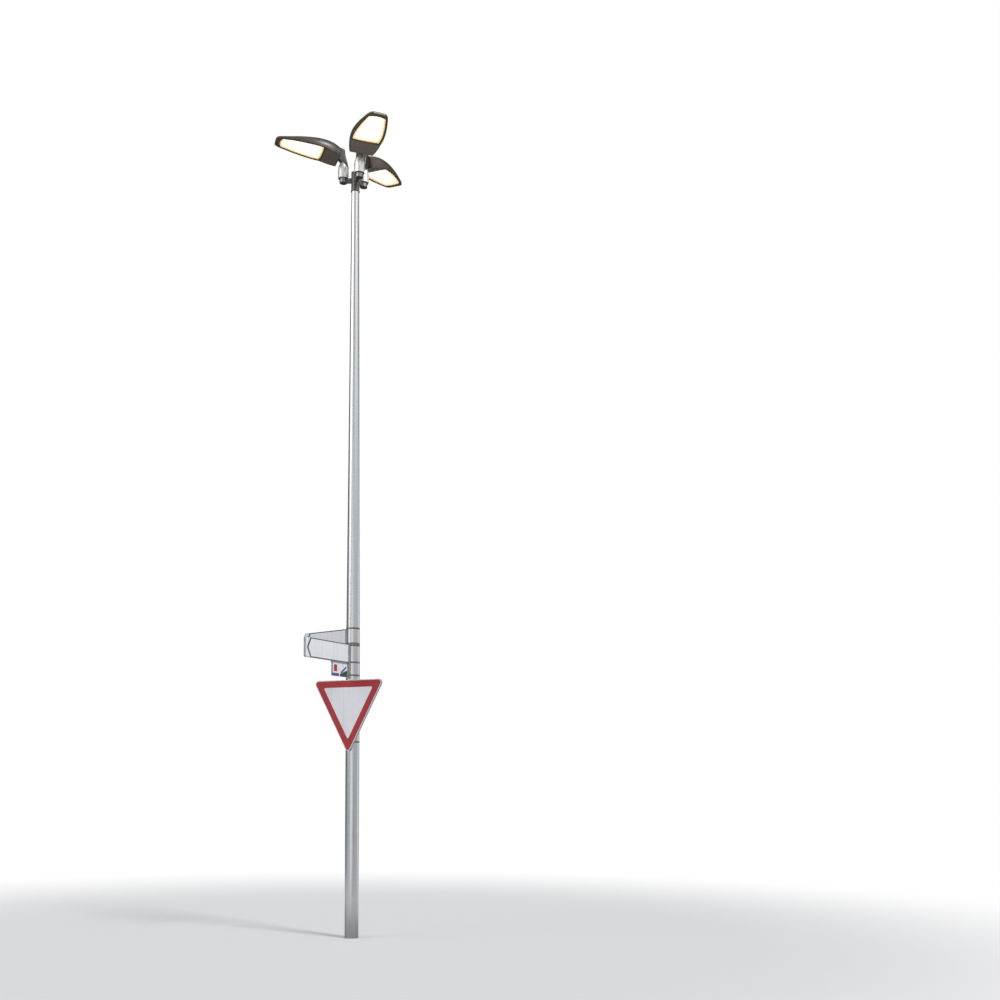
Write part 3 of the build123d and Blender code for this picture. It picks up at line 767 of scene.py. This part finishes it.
def give_way_film(inset, corner, layer, name, film):
    """One film of the give-way face, its edge a distance inside the sheet's."""
    model = cut_triangle(SIGN_SIDE - 2 * inset * SLANT, corner)
    thicken(model, FILM_THICKNESS)
    origin = around(GIVE_WAY_AZIMUTH, GIVE_WAY_FACE + layer * FILM_THICKNESS, GIVE_WAY_TOP - inset)
    origin += around(GIVE_WAY_AZIMUTH + 90, GIVE_WAY_OFFSET)
    place = axes(origin, around(GIVE_WAY_AZIMUTH + 90, 1), (0, 0, 1))
    settle(model, name, [place], "root", "give_way_sheeting", film)
    put_away(model)


give_way_film(SHEET_EDGE, SIGN_CORNER - SHEET_EDGE, 0, "give_way_white_edge", white_film)
give_way_film(LIGHT_EDGE, SIGN_CORNER - LIGHT_EDGE, 1, "give_way_red_border", red_film)
give_way_film(LIGHT_EDGE + RED_BORDER, FIELD_CORNER, 2, "give_way_white_field", white_film)

# %% [markdown]
# ## Print on the pointing signs
# Each pointing sign has a dark green line round its white face that comes to a point at its
# outer end, to show the way. It is one flat outline: a rectangle whose outer edge is split,
# with the new middle corner drawn outwards, and then inset by the width of the line. The
# inner face is shortened, so that the line is widest at the point, and then deleted. What
# is left is the line, and both sides of the sign carry it.

# %% Pointed border lines
FINGER_HEIGHT = 0.200
FINGER_THICKNESS = 0.022
LINE_INSET = 0.003
LINE_WIDTH = 0.008
LINE_CORNER = 0.010
POINT_INSET = 0.026
POINT_DEPTH = 0.056
POINT_EXTRA = 0.016
# Vertices nearer than this to a line are taken to lie on it.
NEAR = 0.001


def pointed_line(finger, name):
    """Border line with a point, for both faces of one pointing sign."""
    straight = finger["length"] - LINE_INSET - POINT_INSET - POINT_DEPTH
    start_fresh()
    middle = (LINE_INSET + straight / 2, FINGER_HEIGHT / 2, 0)
    bpy.ops.mesh.primitive_plane_add(size=1, location=middle)
    bpy.ops.transform.resize(value=(straight, FINGER_HEIGHT - 2 * LINE_INSET, 1))
    bpy.ops.object.transform_apply(location=True, rotation=True, scale=True)
    bpy.ops.object.mode_set(mode="EDIT")
    outer = LINE_INSET + straight - NEAR
    pick("edges", lambda edge: all(vert.co.x > outer for vert in edge.verts))
    bpy.ops.mesh.subdivide(number_cuts=1)
    pick("verts", lambda vert: vert.co.x > outer and abs(vert.co.y - FINGER_HEIGHT / 2) < NEAR)
    bpy.ops.transform.translate(value=(POINT_DEPTH, 0, 0))
    bpy.ops.mesh.select_all(action="SELECT")
    bpy.ops.mesh.bevel(offset=LINE_CORNER, offset_type="OFFSET", affect="VERTICES", segments=4)
    bpy.ops.mesh.select_mode(type="FACE")
    bpy.ops.mesh.select_all(action="SELECT")
    bpy.ops.mesh.inset(thickness=LINE_WIDTH)
    share = 1 - POINT_EXTRA / (straight + POINT_DEPTH)
    bpy.ops.transform.resize(value=(share, 1, 1), center_override=(LINE_INSET + LINE_WIDTH, 0, 0))
    bpy.ops.mesh.delete(type="FACE")
    close_up()
    model = bpy.context.object
    thicken(model, FILM_THICKNESS)
    rise = Matrix.Translation((0, 0, FINGER_THICKNESS / 2))
    places = [on_finger(finger, side) @ rise for side in (1, -1)]
    settle(model, name, places, "root", "finger_sheeting", green_film)
    put_away(model)


pointed_line(UPPER_FINGER, "upper_finger_line")
pointed_line(LOWER_FINGER, "lower_finger_line")

# %% [markdown]
# ## Route plaques
# Two small square plaques hang under the lower pointing sign and mark routes. They are kept
# plain: the outer one white with a blue edge and foot and a red patch, the inner one white
# with a dark green hill and a blue stripe that slants up over it. Each is a rounded strip
# of film. The hill is a strip with one upper corner pulled down, and the stripe is turned
# in the plaque's plane before it gets its thickness.

# %% Plaque films
PLAQUE_SIZE = 0.150
PLAQUE_SPACING = 0.006
PLAQUE_START = 0.0145
PLAQUE_DROP = -0.156
PLAQUE_THICKNESS = 0.003
PLAQUE_FILM_CORNER = 0.004


def plaque_film(index, left, low, width, height, layer, name, film, turn=0.0, fall=0.0):
    """Strip of film on both sides of a plaque, turned by degrees or with a fallen corner."""
    model = cut_rectangle(width, height, PLAQUE_FILM_CORNER)
    bpy.ops.object.mode_set(mode="EDIT")
    bpy.ops.mesh.select_all(action="SELECT")
    if turn:
        middle = (width / 2, height / 2, 0)
        bpy.ops.transform.rotate(value=radians(turn), orient_axis="Z", center_override=middle)
    if fall:
        pick("verts", lambda vert: vert.co.x > width / 2 and vert.co.y > height / 2)
        bpy.ops.transform.translate(value=(0, -fall, 0))
    bpy.ops.object.mode_set(mode="OBJECT")
    thicken(model, FILM_THICKNESS)
    start = PLAQUE_START + index * (PLAQUE_SIZE + PLAQUE_SPACING)
    rise = PLAQUE_THICKNESS / 2 + layer * FILM_THICKNESS
    shift = Matrix.Translation((start + left, PLAQUE_DROP + low, rise))
    places = [on_finger(LOWER_FINGER, side) @ shift for side in (1, -1)]
    settle(model, name, places, "root", "plaque_sheeting", film)
    put_away(model)


plaque_film(1, 0.126, 0.006, 0.020, 0.136, 0, "outer_plaque_blue_edge", blue_film)
plaque_film(1, 0.006, 0.006, 0.118, 0.030, 0, "outer_plaque_blue_foot", blue_film)
plaque_film(1, 0.040, 0.054, 0.060, 0.070, 0, "outer_plaque_red_patch", red_film)
plaque_film(0, 0.006, 0.006, 0.136, 0.070, 0, "inner_plaque_hill", green_film, fall=0.044)
plaque_film(0, 0.014, 0.066, 0.118, 0.020, 1, "inner_plaque_stripe", blue_film, turn=32)

# %% [markdown]
# ## Band locks
# Each steel band is drawn tight by a small lock: a folded housing with a screw through it.
# The lock starts as a cube, is narrowed at its top by scaling the upper face, and has its edges
# beveled as a folded sheet's are. The screw is a six-sided head, made from a cylinder with
# an inset and a pushed-in recess. A lock sits on its band beside or behind the sign. The mast
# tapers and one radius serves each set, so a lock can be a millimetre off its band.

# %% A lock and its screw
LOCK_SIZE = (0.026, 0.020, 0.010)
LOCK_TAPER = (0.8, 0.7, 1)
LOCK_BEVEL = 0.0015
LOCK_SCREW_RADIUS = 0.0045
LOCK_SCREW_LENGTH = 0.008
LOCK_SCREW_PLACE = (LOCK_SIZE[0] / 2 + 0.003, 0, 0.0055)
LOCK_SCREW_RIM = 0.0012
LOCK_SCREW_RECESS = {"thickness": 0.0008, "depth": -0.0015}


def make_lock():
    """Band lock, lying on z = 0 with its screw along x."""
    start_fresh()
    bpy.ops.mesh.primitive_cube_add(size=1, location=(0, 0, LOCK_SIZE[2] / 2))
    bpy.ops.transform.resize(value=LOCK_SIZE)
    bpy.ops.object.transform_apply(location=True, rotation=True, scale=True)
    bpy.ops.object.mode_set(mode="EDIT")
    pick("faces", lambda face: face.normal.z > 0.9)
    bpy.ops.transform.resize(value=LOCK_TAPER)
    pick("edges", lambda edge: max(vert.co.z for vert in edge.verts) > NEAR)
    bpy.ops.mesh.bevel(offset=LOCK_BEVEL, segments=2)
    close_up()
    housing = bpy.context.object
    start_fresh()
    bpy.ops.mesh.primitive_cylinder_add(
        vertices=6,
        radius=LOCK_SCREW_RADIUS,
        depth=LOCK_SCREW_LENGTH,
        location=LOCK_SCREW_PLACE,
        rotation=(0, pi / 2, 0),
    )
    bpy.ops.object.transform_apply(location=True, rotation=True, scale=True)
    bpy.ops.object.mode_set(mode="EDIT")
    pick("faces", lambda face: face.normal.x > 0.9)
    bpy.ops.mesh.inset(thickness=LOCK_SCREW_RIM)
    bpy.ops.mesh.inset(**LOCK_SCREW_RECESS)
    close_up()
    screw = bpy.context.object
    start_fresh()
    housing.select_set(True)
    screw.select_set(True)
    bpy.context.view_layer.objects.active = housing
    bpy.ops.object.join()
    return housing


lock = make_lock()
print("lock faces:", len(lock.data.polygons))

# %% Place the locks
# Name of each set, azimuth, radius of the mast there, height of the sign, rises of its bands.
LOCKS = (
    (
        "upper_finger_band_locks",
        UPPER_FINGER["azimuth"] - 90,
        MAST_RADIUS - 0.0015,
        UPPER_FINGER["base"],
        (0.035, 0.195),
    ),
    (
        "lower_finger_band_locks",
        LOWER_FINGER["azimuth"] - 180,
        MAST_RADIUS - 0.0005,
        LOWER_FINGER["base"],
        (-0.125, 0.011, 0.190),
    ),
    ("give_way_clamp_locks", GIVE_WAY_AZIMUTH + 180, MAST_RADIUS, GIVE_WAY_TOP, (-0.648, -0.118)),
)
BAND_OUTER = 0.0014

for name, azimuth, radius, base, rises in LOCKS:
    places = [on_mast(azimuth, radius + BAND_OUTER, base + rise) for rise in rises]
    settle(lock, name, places, "root", "stainless_band", zinc_plate)
put_away(lock)

# %% [markdown]
# ## Screws
# The collar is fixed to the mast with grub screws, each adapter to its spigot with two, and
# each gear cover with four pan head screws. One function models the screw in both sizes: a
# low cylinder with a beveled edge and a round socket, made by an inset that is pushed in.

# %% A socket screw
def make_screw(radius, height):
    """Socket screw head that stands on z = 0."""
    start_fresh()
    bpy.ops.mesh.primitive_cylinder_add(vertices=24, radius=radius, depth=height, location=(0, 0, height / 2))
    bpy.ops.object.transform_apply(location=True, rotation=True, scale=True)
    bpy.ops.object.mode_set(mode="EDIT")
    pick("edges", lambda edge: all(vert.co.z > 0.9 * height for vert in edge.verts))
    bpy.ops.mesh.bevel(offset=height / 4, segments=2)
    pick("faces", lambda face: face.normal.z > 0.9 and face.calc_area() > radius**2)
    bpy.ops.mesh.inset(thickness=radius * 0.35)
    bpy.ops.mesh.inset(thickness=radius * 0.04, depth=-0.6 * height)
    close_up()
    return bpy.context.object


grub = make_screw(radius=0.0045, height=0.0016)
pan = make_screw(radius=0.0055, height=0.0028)
print("screw faces:", len(grub.data.polygons), len(pan.data.polygons))

# %% Place the screws
COLLAR_RADIUS = 0.0435
COLLAR_SCREW_AZIMUTHS = (90, 210, 330)
COLLAR_SCREW_HEIGHTS = (7.925, 8.052)
ADAPTER_RADIUS = 0.056
ADAPTER_SCREW_RISES = (0.024, 0.056)
# Places on a gear cover, along the head from the glass's near edge and across it.
COVER_SCREWS = ((-0.150, 0.098), (-0.150, -0.098), (-0.036, 0.128), (-0.036, -0.128))
# How deep a grub screw sits in its round wall.
SINK = 0.0006

places = []
for azimuth in COLLAR_SCREW_AZIMUTHS:
    for height in COLLAR_SCREW_HEIGHTS:
        places.append(on_mast(azimuth, COLLAR_RADIUS - SINK, height))
settle(grub, "collar_grub_screws", places, "root", "stainless_band", zinc_plate)
for head, (_, azimuth) in HEADS.items():
    places = []
    for rise in ADAPTER_SCREW_RISES:
        local = on_mast(azimuth + 180, ADAPTER_RADIUS - SINK, RIM_BASE + rise)
        places.append(Matrix.Translation(spigot_axis(head)) @ local)
    settle(grub, "adapter_grub_screws_" + head, places, "luminaire_" + head, "stainless_band", zinc_plate)
put_away(grub)

down = Matrix.Rotation(-radians(COVER_SLOPE), 4, "Y") @ Matrix.Rotation(pi, 4, "X")
for head in HEADS:
    places = []
    for along, across in COVER_SCREWS:
        spot = on_head(head, along, across, along * tan(radians(COVER_SLOPE)))
        places.append(spot @ down)
    settle(pan, "gear_cover_screws_" + head, places, "luminaire_" + head, "stainless_band", zinc_plate)
put_away(pan)

# %% [markdown]
# ## Small lenses
# Each acrylic block carries four shallow lenses, one over each diode. A lens is a disc that
# is raised in three steps of inset, each narrower and higher than the last, which gives a low
# dome with few faces. Its wall and its outermost ring take the frame's painted yellow glow,
# which stands in for the light that a lens bends and colours there. One lens is copied to
# all blocks.

# %% Lenses of each head
LENS_RADIUS = 0.0105
LENS_WALL = 0.0005
# Width and rise of each step of the dome.
LENS_STEPS = ((0.0014, 0.00045), (0.003, 0.0004), (0.003, 0.0001))
LENS_PITCH = 0.025
BLOCK_ROWS = range(-2, 3)
BLOCK_COLUMNS = range(-1, 2)
BLOCK_PITCH = 0.062
BLOCK_MIDDLE = 0.190
BLOCK_FACE = 0.007


def make_lens():
    """Shallow domed lens that hangs under z = 0."""
    start_fresh()
    bpy.ops.mesh.primitive_circle_add(vertices=16, radius=LENS_RADIUS, fill_type="NGON", rotation=(pi, 0, 0))
    bpy.ops.object.transform_apply(location=True, rotation=True, scale=True)
    bpy.ops.object.mode_set(mode="EDIT")
    bpy.ops.mesh.select_mode(type="FACE")
    bpy.ops.mesh.select_all(action="SELECT")
    bpy.ops.mesh.extrude_region_move(TRANSFORM_OT_translate={"value": (0, 0, -LENS_WALL)})
    for width, rise in LENS_STEPS:
        bpy.ops.mesh.inset(thickness=width, depth=rise)
    close_up()
    lens_disc = bpy.context.object
    lens_disc.data.materials.append(lens_acrylic)
    # The rim faces take the reflector's painted yellow glow.
    lens_disc.data.materials.append(reflector_with_painted_glow)
    for face in lens_disc.data.polygons:
        outer = max(lens_disc.data.vertices[index].co.xy.length for index in face.vertices)
        face.material_index = int(outer > 0.99 * LENS_RADIUS)
    return lens_disc


small_lens = make_lens()
bpy.ops.object.shade_smooth_by_angle(angle=radians(50))
for head in HEADS:
    places = []
    for row, column, along, across in product(BLOCK_ROWS, BLOCK_COLUMNS, (-0.5, 0.5), (-0.5, 0.5)):
        x = BLOCK_MIDDLE + row * BLOCK_PITCH + along * LENS_PITCH
        y = column * BLOCK_PITCH + across * LENS_PITCH
        places.append(on_head(head, x, y, BLOCK_FACE))
    settle(small_lens, "led_lenses_" + head, places, "luminaire_" + head, "white_board")
put_away(small_lens)

# %% [markdown]
# ## Glass seals
# A thin black seal shows round each pane, between the glass and the housing. Its outline has
# to follow the pane exactly, so it starts as a copy of the pane's underside. The border strip
# comes from an inset of all of it, the rest is deleted, and the strip gets a thickness.

# %% Seal from the pane's own outline
SEAL_WIDTH = 0.006
SEAL_THICKNESS = 0.0012


def pane_outline(head):
    """One flat face with the outline of a head's pane, at the pane's underside."""
    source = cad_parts["glass_" + head]
    start_fresh()
    sheet = source.copy()
    sheet.data = source.data.copy()
    sheet.parent = None
    sheet.matrix_world = Matrix()
    bpy.context.collection.objects.link(sheet)
    sheet.select_set(True)
    bpy.context.view_layer.objects.active = sheet
    outwards = -(on_head(head).to_3x3() @ Vector((0, 0, 1)))
    bpy.ops.object.mode_set(mode="EDIT")
    bpy.ops.mesh.select_all(action="SELECT")
    bpy.ops.mesh.remove_doubles(threshold=WELD_DISTANCE)
    pick("faces", lambda face: face.normal.dot(outwards) < 0.99)
    bpy.ops.mesh.delete(type="FACE")
    bpy.ops.mesh.select_all(action="SELECT")
    bpy.ops.mesh.dissolve_limited(angle_limit=radians(1))
    return sheet


for head in HEADS:
    strip = pane_outline(head)
    bpy.ops.mesh.inset(thickness=SEAL_WIDTH)
    bpy.ops.mesh.delete(type="FACE")
    bpy.ops.object.mode_set(mode="OBJECT")
    thicken(strip, SEAL_THICKNESS)
    name = "glass_seal_" + head
    settle(strip, name, [Matrix()], "luminaire_" + head, "black_rubber", seal_rubber)
    put_away(strip)

# %% [markdown]
# ## Reflector frames
# Round the board lies a sloped frame of white plastic that turns stray light downwards. It
# follows the pocket's wall, so it starts from the pane's outline too. A first inset brings
# it inside the wall, a second one makes the slope, because an inset can lift its inner face
# while it shrinks it, and the middle is deleted.

# %% Frame from the same outline
FRAME_INSET = 0.0095
FRAME_WIDTH = 0.015
FRAME_LOW = 0.0058
FRAME_HIGH = 0.0112
FRAME_WALL = 0.0006

for head in HEADS:
    sheet = pane_outline(head)
    rise = on_head(head).to_3x3() @ Vector((0, 0, 1))
    bpy.ops.mesh.inset(thickness=FRAME_INSET)
    bpy.ops.mesh.select_all(action="INVERT")
    bpy.ops.mesh.delete(type="FACE")
    bpy.ops.mesh.select_all(action="SELECT")
    bpy.ops.transform.translate(value=rise * FRAME_LOW)
    bpy.ops.mesh.inset(thickness=FRAME_WIDTH, depth=FRAME_LOW - FRAME_HIGH)
    bpy.ops.mesh.delete(type="FACE")
    bpy.ops.object.mode_set(mode="OBJECT")
    thicken(sheet, FRAME_WALL)
    bpy.ops.object.shade_smooth_by_angle(angle=radians(30))
    name = "reflector_frame_" + head
    # The frame takes the painted yellow glow of the reflector finish.
    settle(sheet, name, [Matrix()], "luminaire_" + head, "white_board", reflector_with_painted_glow)
    put_away(sheet)
